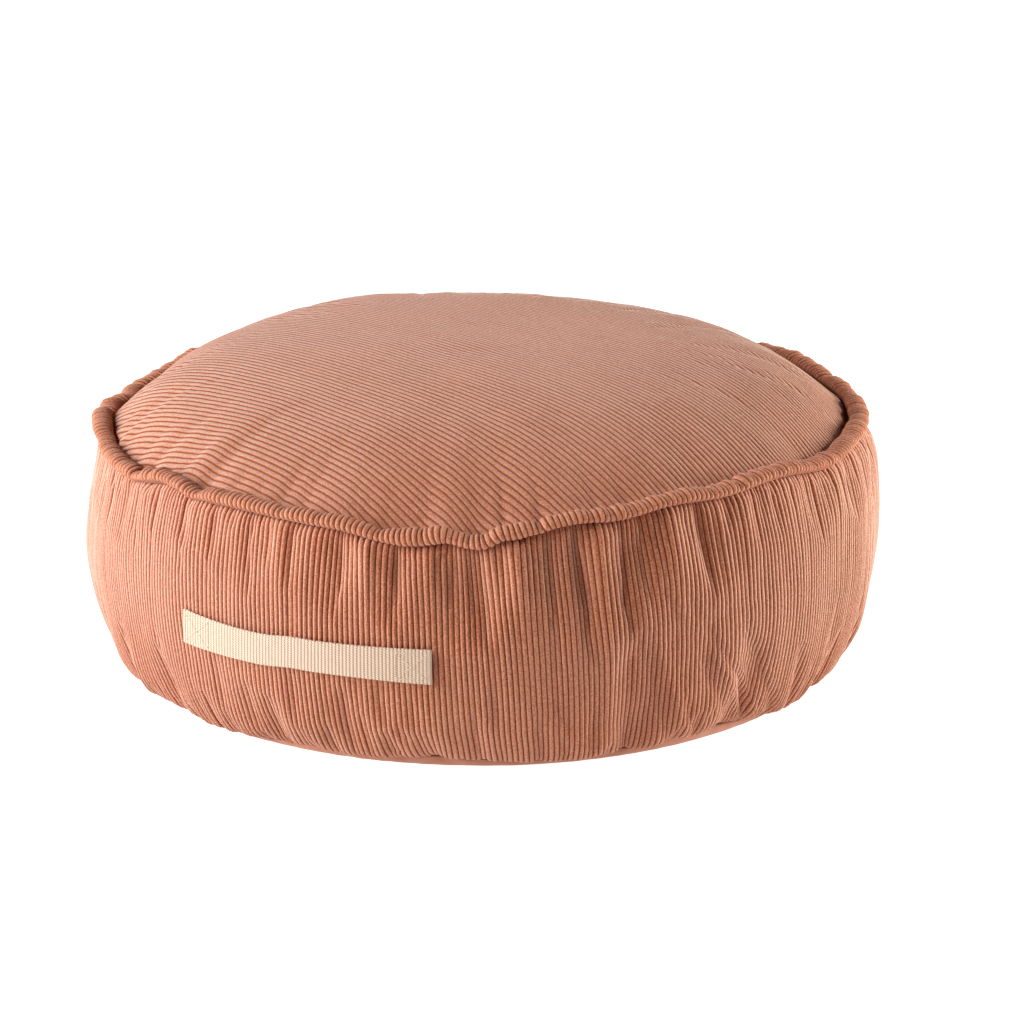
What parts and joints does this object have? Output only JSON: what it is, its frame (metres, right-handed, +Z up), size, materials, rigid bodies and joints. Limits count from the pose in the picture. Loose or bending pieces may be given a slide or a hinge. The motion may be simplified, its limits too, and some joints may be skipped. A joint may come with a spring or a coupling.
{
  "type": "floor pouf",
  "caption": "Low round floor pouf in wide-wale corduroy with a crowned top, a gathered side, a rolled top edge and a webbing carrying strap.",
  "frame": {"origin": "centre of the base, on the floor", "axes": "+Z up through the crown; -Y is the front, where the strap lies to the left; +X to the right as seen from the front"},
  "size_m": [0.6498, 0.6494, 0.262],
  "materials": {
    "corduroy": "terracotta wide-wale cotton corduroy with a soft velvety pile",
    "base_cloth": "plain smooth cloth in the corduroy's colour, matt",
    "webbing": "cream cotton webbing, ribbed weave, matt"
  },
  "bodies": {
    "root": {"top_panel": "corduroy", "side_band": "corduroy", "rolled_edge": "corduroy", "base_panel": "base_cloth", "handle": "webbing"}
  },
  "joints": []
}
